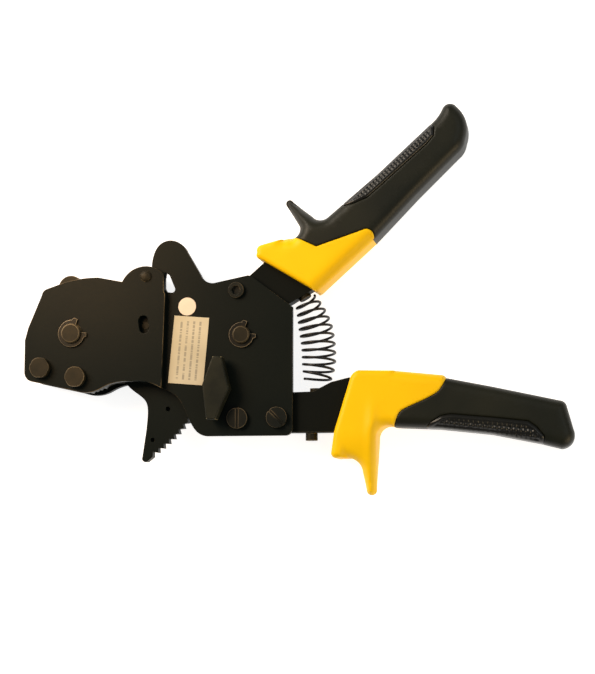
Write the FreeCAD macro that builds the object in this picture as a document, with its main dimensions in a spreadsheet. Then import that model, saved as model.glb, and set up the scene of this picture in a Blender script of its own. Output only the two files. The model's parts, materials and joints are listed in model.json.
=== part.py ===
import FreeCAD, Part
import math
import os
import Sketcher

# A one-hand ratchet pipe cutter lying on its side. Outlines are measured in the plane of the tool
# from the axis of the handle pivot, X towards the handles and Y towards the upper one; heights are
# measured up and down from the middle plane of the tool.

doc = FreeCAD.newDocument("pipe_cutter")
sheet = doc.addObject("Spreadsheet::Sheet", "sizes")

DRIVING = {
    # where the handle pivot stands in the part's own frame, and the height of the middle plane
    "pivot_x": -25.52, "pivot_y": -16.87, "middle_z": 14.0,
    # the stack of plates, as heights from the middle plane
    "blade_half": 2.5, "frame_inner": 4.0, "frame_plate": 3.0, "head_inner": 7.4, "head_plate": 3.6,
    "arm_half": 3.8, "pawl_gap": 0.15, "pawl_thick": 2.2,
    # pins, screws and their holes
    "main_pin": 4.4, "blade_pin": 5.0, "fit_gap": 0.06, "screw_shank": 3.0, "small_pin": 1.6,
    "knob_shaft": 2.2, "nose_shank": 3.2, "bolt_head": 5.8, "bolt_head_height": 3.5,
    "screw_head": 5.2, "screw_head_height": 2.2, "clip_thick": 1.0, "washer_thick": 1.5,
    "washer_reach": 10.0, "nut_thick": 3.0, "stop_head": 4.0, "stop_socket": 2.3, "roller_reach": 6.5,
    # handles
    "grip_half": 11.0, "guard_half": 12.0, "edge_round": 1.5,
    # ratchet
    "tooth_tip": 74.2, "tooth_depth": 2.1, "tooth_pitch": 2.77, "pit_depth": 3.0,
    # return spring
    "spring_radius": 8.1, "spring_wire": 1.3, "spring_turns": 10.5, "seat_reach": 3.2,
    # thin pieces
    "label_thick": 0.3, "plug_radius": 4.6, "knob_thick": 6.5, "knob_round": 0.8,
}
for row, (alias, value) in enumerate(DRIVING.items(), start=1):
    sheet.set(f"A{row}", alias)
    sheet.set(f"B{row}", str(value))
    sheet.setAlias(f"B{row}", alias)
doc.recompute()


def size(alias):
    return float(sheet.get(alias))


def bound(text):
    """An expression in which each driving dimension is read from the sheet."""
    words = text.split()
    return " ".join(f"<<sizes>>.{word}" if word in DRIVING else word for word in words)


def vec(point, height=0.0):
    return FreeCAD.Vector(point[0], point[1], height)


# Centres in the plane of the tool.
BLADE_PIVOT = (-86.9, 1.9)
NOSE_BOLTS = [(-102.8, -15.3), (-84.2, -20.2)]
LOBE_PIN = (-48.6, 30.3)
STOP_PIN = (-49.5, 5.8)
TOP_ROLLER = (-89.2, 25.7)
STOP_SCREW = (-2.7, 22.5)
FRAME_SCREWS = [(-1.9, -41.6), (18.0, -41.4)]
KNOB_AXIS = (-10.8, -27.1)
PAWL_PIN = (3.4, -11.0)
PLUG = (-28.0, 14.9)
ADJUSTER = (34.2, -48.9)


def around(centre, radius, degrees):
    angle = math.radians(degrees)
    return (centre[0] + radius * math.cos(angle), centre[1] + radius * math.sin(angle))


def curves(outline):
    """Closed outline: a point is reached by a line, a pair of points by an arc through the first,
    and a longer list by a smooth curve through them all."""
    here = outline[0]
    made = []
    for step in outline[1:] + [outline[0]]:
        if isinstance(step, tuple) and isinstance(step[0], (int, float)):
            if math.dist(here, step) > 1e-6:
                made.append(Part.LineSegment(vec(here), vec(step)))
            here = step
        elif len(step) == 2:
            made.append(Part.Arc(vec(here), vec(step[0]), vec(step[1])))
            here = step[1]
        else:
            curve = Part.BSplineCurve()
            curve.interpolate([vec(here)] + [vec(p) for p in step])
            made.append(curve)
            here = step[-1]
    return made


def place(thing, height, centre=(0.0, 0.0)):
    thing.setExpression("Placement.Base.x", bound(f"pivot_x + {centre[0]}"))
    thing.setExpression("Placement.Base.y", bound(f"pivot_y + {centre[1]}"))
    thing.setExpression("Placement.Base.z", bound(f"middle_z + {height}"))


def new_sketch(body, name, plane="XY_Plane"):
    sketch = body.newObject("Sketcher::SketchObject", name)
    origin = [f for f in body.Origin.OriginFeatures if f.Role == plane][0]
    sketch.AttachmentSupport = [(origin, "")]
    sketch.MapMode = "FlatFace"
    return sketch


def plate(name, outline, height, thick, holes=(), hidden=False):
    """A flat piece: its outline padded upwards from a height, with round holes (centre, radius)."""
    body = doc.addObject("PartDesign::Body", name + "_body")
    body.Label = name if not hidden else name + "_blank"
    sketch = new_sketch(body, name + "_outline")
    sketch.addGeometry(curves(outline), False)
    pad = body.newObject("PartDesign::Pad", name + "_pad")
    pad.Profile = sketch
    pad.setExpression("Length", bound(thick))
    if holes:
        cut = new_sketch(body, name + "_holes")
        for number, (centre, radius) in enumerate(holes):
            cut.addGeometry(Part.Circle(vec(centre), FreeCAD.Vector(0, 0, 1), 1.0), False)
            cut.addConstraint(Sketcher.Constraint("Radius", number, 1.0))
            cut.setExpression(f"Constraints[{number}]", bound(radius))
        pocket = body.newObject("PartDesign::Pocket", name + "_pocket")
        pocket.Profile = cut
        pocket.Type = 1
        pocket.Midplane = True
    place(body, height)
    return body


def opened(body, name, outline):
    """Cuts an outline right through a plate."""
    sketch = new_sketch(body, name)
    sketch.addGeometry(curves(outline), False)
    pocket = body.newObject("PartDesign::Pocket", name + "_pocket")
    pocket.Profile = sketch
    pocket.Type = 1
    pocket.Midplane = True


def turned(name, profile, centre, height="0"):
    """A round piece: a half profile of (radius, height) points turned about its own axis."""
    body = doc.addObject("PartDesign::Body", name + "_body")
    body.Label = name
    sketch = new_sketch(body, name + "_profile", "XZ_Plane")
    sketch.addGeometry(curves(profile), False)
    turn = body.newObject("PartDesign::Revolution", name + "_turn")
    turn.Profile = sketch
    turn.ReferenceAxis = (sketch, ["V_Axis"])
    turn.Angle = 360.0
    place(body, height, centre)
    return body


def rounded(body, radius="edge_round"):
    """Rounds the two outlines of a plate's faces."""
    doc.recompute()
    pad = body.Tip
    box = pad.Shape.BoundBox
    names = [
        f"Edge{i + 1}"
        for i, edge in enumerate(pad.Shape.Edges)
        if edge.BoundBox.ZLength < 1e-4
        and min(abs(edge.BoundBox.ZMin - box.ZMin), abs(edge.BoundBox.ZMin - box.ZMax)) < 1e-3
    ]
    fillet = body.newObject("PartDesign::Fillet", body.Name + "_round")
    fillet.Base = (pad, names)
    fillet.setExpression("Radius", bound(radius))
    return fillet


def cut_from(name, base, tools):
    """A named piece that is one solid less others."""
    for number, tool in enumerate(tools):
        cut = doc.addObject("Part::Cut", f"{name}_cut_{number}")
        cut.Base, cut.Tool = base, tool
        base = cut
    base.Label = name
    return base


def fused(name, pieces):
    joined = doc.addObject("Part::MultiFuse", name)
    joined.Shapes = pieces
    joined.Label = name
    return joined


def cylinder(name, centre, radius, low, high):
    """A cylinder whose radius and two heights are expressions."""
    rod = doc.addObject("Part::Cylinder", name)
    rod.setExpression("Radius", bound(radius))
    rod.setExpression("Height", bound(f"( {high} ) - ( {low} )"))
    place(rod, low, centre)
    rod.Label = name
    return rod


def hexagon(name, centre, radius, low, high):
    prism = doc.addObject("Part::Prism", name)
    prism.Polygon = 6
    prism.setExpression("Circumradius", bound(radius))
    prism.setExpression("Height", bound(f"( {high} ) - ( {low} )"))
    place(prism, low, centre)
    return prism


def group(name, pieces):
    """Identical fasteners kept together as separate solids of one node."""
    held = doc.addObject("Part::Compound", name)
    held.Links = pieces
    held.Label = name
    return held


def shaped(name, shape):
    """A piece swept by Part's own functions, sizes read from the sheet."""
    feature = doc.addObject("Part::Feature", name)
    feature.Shape = shape
    feature.Label = name
    feature.Placement = FreeCAD.Placement(
        FreeCAD.Vector(size("pivot_x"), size("pivot_y"), size("middle_z")), FreeCAD.Rotation()
    )
    return feature


# ---------------------------------------------------------------- outlines of the plates
HEAD_FRONT_OUTLINE = [
    (-103.2, 22.0), [(-102.4, 23.9), (-100.6, 25.1)], (-92.8, 27.7), [(-83.2, 29.8), (-73.6, 30.3)],
    (-61.0, 27.8), [(-51.0, 35.3), (-39.4, 31.2)], (-39.3, 22.2), (-38.6, 21.0), (-40.1, -26.4),
    [(-47.8, -23.1), (-56.2, -22.8)], [(-64.5, -23.3), (-71.2, -26.0)], [(-77.5, -28.0), (-85.4, -27.0)],
    (-107.2, -22.2), [(-110.5, -20.6), (-111.8, -17.0)], (-111.8, -1.0), (-110.2, 5.2),
]
HEAD_REAR_OUTLINE = [
    (-103.2, 22.0), [(-102.4, 23.9), (-100.6, 25.1)], (-92.8, 27.7), [(-83.2, 29.8), (-73.6, 30.3)],
    (-61.0, 27.8), [(-52.6, 35.0), (-43.7, 31.8)], (-43.6, 22.2), (-42.9, 21.0), (-44.2, -24.6),
    [(-50.0, -23.1), (-56.2, -22.8)], [(-64.5, -23.3), (-71.2, -26.0)], [(-77.5, -28.0), (-85.4, -27.0)],
    (-107.2, -22.2), [(-110.5, -20.6), (-111.8, -17.0)], (-111.8, -1.0), (-110.2, 5.2),
]
FRAME_NOSE = [
    (-58.0, -21.6), (-68.0, -22.4), (-78.0, -26.2), (-104.0, -21.2), (-109.0, -17.0), (-109.0, 0.0),
    (-101.0, 13.0), (-84.0, 17.0), (-80.0, 27.4), (-62.0, 25.2), (-54.0, 32.2), (-46.6, 34.5),
]
FRAME_FRONT_OUTLINE = [
    (4.6, 29.6), (25.7, 13.6), (25.7, -46.6), [(24.6, -49.2), (21.9, -50.3)], (-17.8, -50.3),
    [(-22.3, -48.4), (-25.7, -43.8), (-28.5, -37.6), (-32.8, -30.6), (-38.8, -26.8), (-46.0, -24.2)],
] + FRAME_NOSE + [
    [(-45.6, 41.9), (-42.2, 47.2), (-37.1, 48.9), (-31.9, 47.2), (-28.2, 42.8)], (-21.2, 30.8),
    [(-18.6, 27.6), (-14.5, 26.5)], (3.0, 30.0),
]
FRAME_REAR_OUTLINE = [
    (4.6, 29.6), (23.4, 14.2), (23.4, -45.4), [(22.3, -48.0), (19.6, -49.1)], (-16.6, -49.1),
    [(-21.4, -47.2), (-25.0, -43.0), (-28.2, -37.2), (-32.8, -30.6), (-38.8, -26.8), (-46.0, -24.2)],
] + FRAME_NOSE + [
    [(-45.6, 41.2), (-43.2, 45.6), (-39.4, 47.4), (-34.8, 46.0), (-31.2, 41.8)], (-24.0, 30.4),
    [(-21.2, 27.4), (-17.0, 26.5)], (3.0, 30.0),
]
EYE_FRONT = [
    (-39.6, 32.6), (-37.3, 31.0), (-34.6, 24.7), [(-34.7, 22.9), (-36.4, 22.2)], (-38.6, 22.5), (-40.6, 26.0),
]
EYE_REAR = [
    (-42.0, 34.6), (-39.2, 32.8), (-36.0, 26.3), [(-36.0, 23.6), (-38.4, 22.7)], (-41.0, 23.1), (-43.2, 27.4),
]


def frame_plates():
    """Two steel side plates with the hooked eye over the head, bored for everything they carry."""
    holes = [(BLADE_PIVOT, "blade_pin + fit_gap"), ((0.0, 0.0), "main_pin + fit_gap")]
    holes += [(STOP_PIN, "small_pin + 0.4"), (LOBE_PIN, "small_pin + 1"), (STOP_SCREW, "screw_shank")]
    holes += [(KNOB_AXIS, "knob_shaft + fit_gap")]
    holes += [(centre, "screw_shank") for centre in FRAME_SCREWS]
    holes += [(centre, "nose_shank") for centre in NOSE_BOLTS]
    for name, outline, eye, height, more in (
        ("frame_plate_front", FRAME_FRONT_OUTLINE, EYE_FRONT, "frame_inner", [(PLUG, "plug_radius")]),
        ("frame_plate_rear", FRAME_REAR_OUTLINE, EYE_REAR, "-1 * frame_inner - frame_plate", []),
    ):
        opened(plate(name, outline, height, "frame_plate", holes + more), name + "_eye", eye)


def head_plates():
    """Two cheeks that box in the nose, with the oval window over the stop pin."""
    holes = [(BLADE_PIVOT, "blade_pin + fit_gap"), (LOBE_PIN, "small_pin + 1")]
    holes += [(centre, "nose_shank") for centre in NOSE_BOLTS]
    window = [(-52.3, 7.6), [(-49.9, 10.3), (-47.2, 8.0)], (-46.6, 4.2), [(-48.8, 1.4), (-51.7, 3.6)]]
    pin = [(TOP_ROLLER, "small_pin + 0.9")]
    for name, outline, height, more in (
        ("head_plate_front", HEAD_FRONT_OUTLINE, "head_inner", []),
        ("head_plate_rear", HEAD_REAR_OUTLINE, "-1 * head_inner - head_plate", pin),
    ):
        opened(plate(name, outline, height, "head_plate", holes + more), name + "_window", window)


def nose_pieces():
    """The hardened pipe rest between the cheeks, its bolts and nuts, and the roller over the nose."""
    serrations = []
    for number in range(4):
        along = (-79.2 + 2.2 * number, -27.4 + 0.75 * number)
        serrations += [along, (along[0] + 1.1, along[1] + 1.2)]
    rest = [(-108.4, -17.6), (-108.4, -9.0), (-99.0, -7.8), (-92.0, -14.0), (-77.2, -13.6), (-71.0, -23.2)]
    rest += list(reversed(serrations)) + [(-85.0, -26.4), (-101.0, -22.6)]
    plate("pipe_rest", rest, "-1 * frame_inner", "2 * frame_inner", [(c, "nose_shank") for c in NOSE_BOLTS])
    top = "head_inner + head_plate"
    bolts, nuts = [], []
    for number, centre in enumerate(NOSE_BOLTS):
        head = hexagon(f"nose_head_{number}", centre, "bolt_head", top, top + " + bolt_head_height")
        shank = cylinder(f"nose_shank_{number}", centre, "nose_shank", f"-1 * ( {top} ) - nut_thick", top)
        bolts.append(fused(f"nose_bolt_{number}", [head, shank]))
        nuts.append(nut(f"nose_nut_{number}", centre, "bolt_head", "nose_shank", f"-1 * ( {top} )"))
    group("nose_bolts", bolts)
    group("nose_nuts", nuts)
    low, high, pin = "-1 * head_inner", "head_inner", "small_pin + 0.9"
    blank = cylinder("top_roller_blank", TOP_ROLLER, "roller_reach", low, high)
    cut_from("top_roller", blank, [cylinder("top_roller_bore", TOP_ROLLER, pin, low, high)])
    cylinder("top_roller_pin", TOP_ROLLER, pin, "-1 * head_inner - head_plate", high)


def clip_outline(centre, inner, outer):
    """A retaining ring that is open on one side, with a lug at each end of the ring."""
    def at(radius, degrees):
        return around(centre, radius, degrees)

    return [
        at(inner, 62), [at(inner, 215), at(inner, 8)], at(outer + 1.0, 2), at(outer + 1.2, -12),
        at(outer, -18), [at(outer, 215), at(outer, 88)], at(outer + 1.2, 82), at(outer + 1.0, 66),
    ]


def pivots():
    """The two main pins, the rings that hold them and the washers beside the blade."""
    head_top, frame_top = size("head_inner") + size("head_plate"), size("frame_inner") + size("frame_plate")
    for name, centre, pin, top in (
        ("blade_pivot_pin", BLADE_PIVOT, size("blade_pin"), head_top),
        ("handle_pivot_pin", (0.0, 0.0), size("main_pin"), frame_top),
    ):
        ends, groove = top + 3.0, (top + 0.2, top + 1.3)
        profile = [(0.0, -ends), (pin, -ends), (pin, -groove[1]), (pin - 0.8, -groove[1]),
                   (pin - 0.8, -groove[0]), (pin, -groove[0]), (pin, groove[0]), (pin - 0.8, groove[0]),
                   (pin - 0.8, groove[1]), (pin, groove[1]), (pin, ends - 0.5), (pin - 0.5, ends), (0.0, ends)]
        turned(name, profile, centre)
        for side, low in (("front", f"{groove[0] + 0.05}"), ("rear", f"{-groove[0] - 1.05}")):
            clip = name.replace("pin", "clip_") + side
            plate(clip, clip_outline(centre, pin - 0.8, pin + 1.9), low, "clip_thick")
    washers = []
    for number, low in enumerate(("blade_half", "-1 * frame_inner")):
        high = f"{low} + washer_thick"
        disc = cylinder(f"blade_washer_disc_{number}", BLADE_PIVOT, "washer_reach", low, high)
        bore = cylinder(f"blade_washer_bore_{number}", BLADE_PIVOT, "blade_pin + fit_gap", low, high)
        washers.append(cut_from(f"blade_washer_{number}", disc, [bore]))
    group("blade_washers", washers)


def spacer(name, centre, reach, hole):
    """A tube that keeps the two frame plates apart."""
    blank = cylinder(f"{name}_blank", centre, reach, "-1 * frame_inner", "frame_inner")
    bore = cylinder(f"{name}_bore", centre, hole, "-1 * frame_inner", "frame_inner")
    return cut_from(name, blank, [bore])


def nut(name, centre, reach, hole, seat):
    """A hexagon nut under a face at the height of its seat."""
    low = f"{seat} - nut_thick"
    blank = hexagon(f"{name}_blank", centre, reach, low, seat)
    bore = cylinder(f"{name}_bore", centre, hole, low, seat)
    return cut_from(name, blank, [bore])


def slotted_screw(name, centre, turn):
    """A cheese-head screw, its slot turned about its axis by an angle."""
    top, slot_width, slot_depth = "frame_inner + frame_plate", 1.2, 1.1
    head = cylinder(f"{name}_head", centre, "screw_head", top, f"{top} + screw_head_height")
    shank = cylinder(f"{name}_shank", centre, "screw_shank", f"-1 * ( {top} ) - nut_thick", top)
    slot = doc.addObject("Part::Box", f"{name}_slot")
    slot.Length, slot.Width, slot.Height = 14.0, slot_width, 2.0
    spin = FreeCAD.Rotation(FreeCAD.Vector(0, 0, 1), turn)
    start = spin.multVec(FreeCAD.Vector(-7.0, -slot_width / 2, 0.0))
    slot.Placement = FreeCAD.Placement(FreeCAD.Vector(), spin)
    place(slot, f"{top} + screw_head_height - {slot_depth}", (centre[0] + start.x, centre[1] + start.y))
    return cut_from(name, fused(f"{name}_whole", [head, shank]), [slot])


def frame_fasteners():
    """Pins, screws, nuts and spacers that hold the plates apart and together."""
    top = "frame_inner + frame_plate"
    cylinder("blade_stop_pin", STOP_PIN, "small_pin + 0.4", f"-1 * ( {top} ) - 0.2", f"{top} + 0.2")
    cheek, rod = size("head_inner") + size("head_plate"), size("small_pin") + 1.0
    rivet = [(0.0, -cheek - 0.9), (rod + 1.0, -cheek - 0.6), (rod + 1.3, -cheek), (rod, -cheek), (rod, cheek),
             (rod + 0.1, cheek), (rod + 0.1, cheek + 0.9), (rod - 0.7, cheek + 1.4), (0.0, cheek + 1.6)]
    turned("lobe_rivet", rivet, LOBE_PIN)
    spacer("lobe_spacer", LOBE_PIN, "5.4", "small_pin + 1")
    spacer("stop_spacer", STOP_SCREW, "5.8", "screw_shank")
    cylinder("plate_plug", PLUG, "plug_radius", "frame_inner", f"{top} + 0.3")
    turns = (90.0, -45.0)
    group("frame_screws", [slotted_screw(f"frame_screw_{n}", FRAME_SCREWS[n], turns[n]) for n in range(2)])
    group("frame_nuts", [
        nut(f"frame_nut_{n}", centre, "screw_head", "screw_shank", f"-1 * ( {top} )")
        for n, centre in enumerate(FRAME_SCREWS + [STOP_SCREW])
    ])
    head = cylinder("stop_cap", STOP_SCREW, "stop_head", top, f"{top} + 2")
    shank = cylinder("stop_shank", STOP_SCREW, "screw_shank", f"-1 * ( {top} ) - nut_thick", top)
    socket = hexagon("stop_hex", STOP_SCREW, "stop_socket", f"{top} + 0.3", f"{top} + 3")
    cut_from("stop_screw", fused("stop_screw_blank", [head, shank]), [socket])


def label():
    corners = [(-34.5, 10.5), (-16.6, 8.9), (-19.5, -25.0), (-37.6, -23.5)]
    plate("instruction_label", corners, "frame_inner + frame_plate", "label_thick")


def toothed_blade():
    """A sector on the blade pivot: a hub, a web and an arc of ratchet teeth whose short flanks face
    the pawls, with the curved edge that closes on the pipe."""
    tip, root, pitch = size("tooth_tip"), size("tooth_tip") - size("tooth_depth"), size("tooth_pitch")

    def at(radius, degrees):
        return around(BLADE_PIVOT, radius, degrees)

    first = -56.9
    teeth = []
    for number in range(18):
        angle = first + pitch * number
        teeth += [at(root, angle - 0.62 * pitch), at(tip, angle)]
    teeth = teeth[1:]
    last = first + pitch * 17
    left = [(-49.4, -62.7), [(-51.6, -62.0), (-51.7, -60.2)], (-49.7, -46.2)]
    left += [[(-49.1, -37.6), (-50.1, -32.6), (-54.0, -28.8), (-60.2, -23.4)]]
    hub = [at(11.5, -44), [at(11.5, 160), at(11.5, -2)]]
    outline = left + hub + [at(40.0, -21.0), at(46.0, -21.0), at(60.0, -9.0), at(root, last + 0.8)]
    outline += list(reversed(teeth))
    bore = [(BLADE_PIVOT, "blade_pin + 1.5")]
    body = plate("toothed_blade", outline, "-1 * blade_half", "2 * blade_half", bore)
    pits = new_sketch(body, "toothed_blade_pits")
    for centre, radius in (((-38.7, -36.2), 1.2), ((-46.5, -51.7), 1.1)):
        pits.addGeometry(Part.Circle(vec(centre), FreeCAD.Vector(0, 0, 1), radius), False)
    pits.setExpression("AttachmentOffset.Base.z", bound("2 * blade_half"))
    pocket = body.newObject("PartDesign::Pocket", "toothed_blade_pit_pocket")
    pocket.Profile = pits
    pocket.setExpression("Length", bound("pit_depth"))
    blank = cylinder("blade_bush_blank", BLADE_PIVOT, "blade_pin + 1.5", "-1 * blade_half", "blade_half")
    bore = cylinder("blade_bush_bore", BLADE_PIVOT, "blade_pin + fit_gap", "-1 * blade_half", "blade_half")
    cut_from("blade_bush", blank, [bore])


def pawl_outline(centre, toward, hub, waist, lift):
    """An eye about a centre with a tapering finger that ends at a point; lift trims its tip."""
    length = math.dist(centre, toward)
    turn = math.degrees(math.atan2(toward[1] - centre[1], toward[0] - centre[0]))

    def at(along, aside):
        reach = math.hypot(along, aside)
        return around(centre, reach, turn + math.degrees(math.atan2(aside, along)))

    return [
        at(0.0, hub), [at(-hub, 0.0), at(0.0, -hub)], at(length * 0.6, -waist * 0.7), at(length, -lift),
        at(length - 1.6, waist * 0.5), at(length - 6.0, waist),
    ]


def release():
    """Knob, shaft and the holding pawl that the shaft carries, with the spring under the knob."""
    frame_top = "frame_inner + frame_plate"
    knob = [(-12.9, -11.2), (-8.3, -11.4), (-4.4, -27.2), (-11.2, -42.6), (-16.0, -42.4), (-18.1, -25.2)]
    body = plate("release_knob", knob, f"{frame_top} + 2.6", "knob_thick", hidden=True)
    rounded(body, "knob_round")
    low, high = f"-1 * ( {frame_top} ) - 1.5", f"{frame_top} + knob_thick + 0.6"
    shaft = cylinder("knob_shaft", KNOB_AXIS, "knob_shaft", low, high)
    cut_from("release_knob", body, [shaft])
    tip = around(BLADE_PIVOT, size("tooth_tip") + 0.5, -31.8)
    outline = pawl_outline(KNOB_AXIS, tip, 4.6, 2.4, 0.0)
    plate("holding_pawl", outline, "-1 * pawl_gap - pawl_thick", "pawl_thick", [(KNOB_AXIS, "knob_shaft")])


def ring_stack(name, centre, low, mean, wire, pitch, count):
    """A short close coil, one ring to each turn."""
    rings = []
    for number in range(count):
        ring = doc.addObject("Part::Torus", f"{name}_turn_{number}")
        ring.Radius1, ring.Radius2 = mean, wire / 2
        place(ring, f"{low} + {number * pitch}", centre)
        rings.append(ring)
    return group(name, rings)


def small_springs():
    ring_stack("knob_spring", KNOB_AXIS, "frame_inner + frame_plate + 0.5", 4.2, 0.7, 0.8, 3)
    ring_stack("drive_pawl_spring", PAWL_PIN, "-1 * pawl_thick + 0.1", 2.5, 0.44, 0.5, 4)


def return_spring():
    """Round wire coiled between the arms, bowed towards the ends of the handles."""
    ends = [(31.1, 17.7), (37.4, -3.0), (36.9, -22.9)]
    axis = Part.Arc(vec(ends[0]), vec(ends[1]), vec(ends[2])).toShape().Edges[0]
    turns, mean, steps = size("spring_turns"), size("spring_radius"), 16
    count = int(turns * steps)
    points = []
    for number in range(count + 1):
        share = number / count
        at = axis.FirstParameter + share * (axis.LastParameter - axis.FirstParameter)
        centre, along = axis.valueAt(at), axis.tangentAt(at)
        across = FreeCAD.Vector(along.y, -along.x, 0)
        angle = math.pi + 2 * math.pi * number / steps
        narrow_top = 0.36 * max(0.0, 1.0 - share / 0.4) ** 1.5
        narrow_foot = 0.22 * max(0.0, (share - 0.7) / 0.3) ** 2
        reach = mean * (1.0 - narrow_top - narrow_foot)
        rise = FreeCAD.Vector(0, 0, reach * math.sin(angle))
        points.append(centre + across * (reach * math.cos(angle)) + rise)
    path = Part.BSplineCurve()
    path.interpolate(points)
    edge = path.toShape()
    start = edge.tangentAt(edge.FirstParameter)
    ring = Part.Wire([Part.Circle(points[0], start, size("spring_wire") / 2).toShape()])
    shaped("return_spring", Part.Wire([edge]).makePipeShell([ring], True, True))


# ---------------------------------------------------------------- handles
UPPER_ARM = [
    (-10.6, 3.0), (4.2, 20.5), (3.0, 30.0), (11.2, 37.2), (40.0, 52.0), (86.0, 88.5), (91.5, 82.5),
    (52.0, 41.0), (36.2, 22.9), (23.2, 15.4), (10.9, 1.6), (9.0, -9.0), [(4.2, -16.1), (-1.6, -12.4)],
    [(-8.6, -6.8), (-10.95, -1.0)],
]
UPPER_GUARD = [
    (8.1, 41.0), [(8.3, 43.2), (10.2, 44.7)], (21.4, 47.6), [(25.6, 48.0), (29.9, 47.0)], (38.4, 42.9),
    (61.6, 50.5), [(65.8, 50.0), (66.4, 45.94)], (39.6, 21.8), [(38.0, 20.9), (36.2, 21.8)], (12.4, 36.2),
    (8.8, 37.9), [(7.8, 39.2), (7.9, 40.2)],
]
UPPER_GRIP = [
    (25.6, 48.0), [(28.9, 50.9), (28.9, 54.4)], (21.5, 66.0), [(22.2, 68.6), (24.9, 67.7)],
    (35.6, 59.0), [(39.4, 57.0), (43.6, 58.3)], (68.4, 78.9), (95.3, 103.4),
    [(99.2, 107.6), (101.0, 110.8)], [(104.2, 113.4), (108.2, 111.7)], [(112.7, 104.4), (112.3, 95.2)],
    [(110.9, 91.1), (108.1, 87.9)], (87.7, 68.0), (66.4, 45.94), [(65.8, 50.0), (61.6, 50.5)],
    (38.4, 42.9), (29.9, 47.0),
]
UPPER_INSERT = [
    (52.0, 63.2), (57.5, 64.2), (64.0, 66.8), (68.8, 70.9), (82.7, 83.1), (93.6, 92.6), (97.0, 96.6),
    (97.2, 101.0), (93.6, 105.2), (68.0, 82.0), (50.4, 66.4),
]
LOWER_ARM = [
    (-8.0, -33.0), (-5.0, -29.4), (26.0, -28.7), (35.4, -28.5), (44.5, -23.9), (53.7, -21.7), (62.0, -27.0),
    (144.0, -42.0), (143.0, -50.0), (98.0, -42.5), (62.0, -44.0), (46.8, -48.8), (-4.0, -48.8), (-8.0, -45.0),
]
LOWER_GUARD = [
    (54.9, -22.4), [(56.3, -20.3), (58.8, -18.8)], (77.1, -19.2), (99.6, -21.6),
    [(101.3, -22.6), (101.2, -24.6)],
    [(98.0, -29.6), (92.6, -32.9), (84.6, -36.5), (79.6, -39.2), (77.2, -43.4), (76.1, -46.6)],
    [(70.0, -46.9), (67.4, -52.0)], (66.6, -76.6), [(64.1, -79.7), (61.6, -77.0)], (60.0, -68.6),
    [(57.8, -63.6), (53.2, -61.6)], (48.7, -61.5), [(46.1, -61.1), (45.4, -58.5)], (46.8, -48.8),
]
LOWER_GRIP = [
    (101.4, -23.0), (123.5, -27.5), (155.8, -34.6), [(158.2, -35.6), (159.4, -38.0)], (162.2, -48.4),
    [(161.6, -54.8), (156.4, -57.6)], (147.0, -55.2), (123.1, -50.4), (98.0, -47.6), (76.1, -46.6),
    [(77.2, -43.4), (79.6, -39.2), (84.6, -36.5), (92.6, -32.9), (98.0, -29.6), (101.2, -24.6)],
]
LOWER_INSERT = [
    (90.5, -48.6), (94.0, -44.8), (99.2, -41.6), (104.0, -40.8), (123.6, -42.6), (141.0, -44.6),
    (145.0, -47.4), (148.6, -52.0), (147.6, -57.0), (123.1, -53.0), (98.0, -50.0),
]


def handle(side, arm_outline, arm_holes, arm_height, guard_outline, grip_outline, insert_outline, round_grip):
    """A steel arm with the coloured guard and the grip moulded over its tang."""
    arm = plate(f"{side}_arm", arm_outline, f"-1 * {arm_height}", f"2 * {arm_height}", arm_holes)
    guard = plate(f"{side}_guard", guard_outline, "-1 * guard_half", "2 * guard_half", hidden=True)
    rounded(guard)
    grip = plate(f"{side}_grip", grip_outline, "-1 * grip_half", "2 * grip_half", hidden=True)
    if round_grip:
        rounded(grip)
    panel = plate(f"{side}_panel", insert_outline, "-1 * grip_half - 1", "2 * grip_half + 2", hidden=True)
    whole = doc.addObject("Part::Common", f"{side}_insert_blank")
    whole.Base, whole.Tool = grip, panel
    cut_from(f"{side}_grip_insert", whole, [arm])
    cut_from(f"{side}_guard", guard, [arm])
    cut_from(f"{side}_grip", grip, [arm, panel, guard])
    return arm


def peg(name, base, direction, length, radius):
    """A round stub that lies in the plane of the tool."""
    axis = FreeCAD.Vector(*direction, 0).normalize()
    return shaped(name, Part.makeCylinder(size(radius), length, vec(base), axis))


def upper_handle():
    """The moving handle: its arm is forked below the pivot to carry the driving pawl."""
    holes = [((0.0, 0.0), "main_pin + fit_gap"), (PAWL_PIN, "small_pin")]
    arm = handle("upper", UPPER_ARM, holes, "arm_half", UPPER_GUARD, UPPER_GRIP, UPPER_INSERT, False)
    fork = new_sketch(arm, "upper_arm_fork")
    fork.addGeometry(curves([(-14.0, -6.6), (8.4, -6.6), (8.4, -20.0), (-14.0, -20.0)]), False)
    fork.setExpression("AttachmentOffset.Base.z", bound("arm_half"))
    pocket = arm.newObject("PartDesign::Pocket", "upper_arm_fork_pocket")
    pocket.Profile = fork
    pocket.Midplane = True
    pocket.setExpression("Length", bound("2 * blade_half"))
    cylinder("pawl_pin", PAWL_PIN, "small_pin", "-1 * arm_half", "arm_half")
    tip = around(BLADE_PIVOT, size("tooth_tip") + 0.9, -18.0)
    outline = pawl_outline(PAWL_PIN, tip, 3.5, 1.9, 0.4)
    plate("drive_pawl", outline, "pawl_gap", "pawl_thick", [(PAWL_PIN, "small_pin + fit_gap")])
    peg("spring_seat_upper", (30.6, 19.6), (0.5, -0.866), 1.6, "seat_reach")


def lower_handle():
    """The fixed handle: its arm is screwed between the frame plates."""
    holes = [(centre, "screw_shank") for centre in FRAME_SCREWS]
    arm = handle("lower", LOWER_ARM, holes, "frame_inner", LOWER_GUARD, LOWER_GRIP, LOWER_INSERT, True)
    blank = peg("spring_seat_blank", (36.6, -30.0), (0.0, 1.0), 3.2, "seat_reach")
    cut_from("spring_seat_lower", blank, [arm])
    peg("adjusting_screw", ADJUSTER, (0.0, -1.0), 3.8, "screw_shank")


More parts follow.
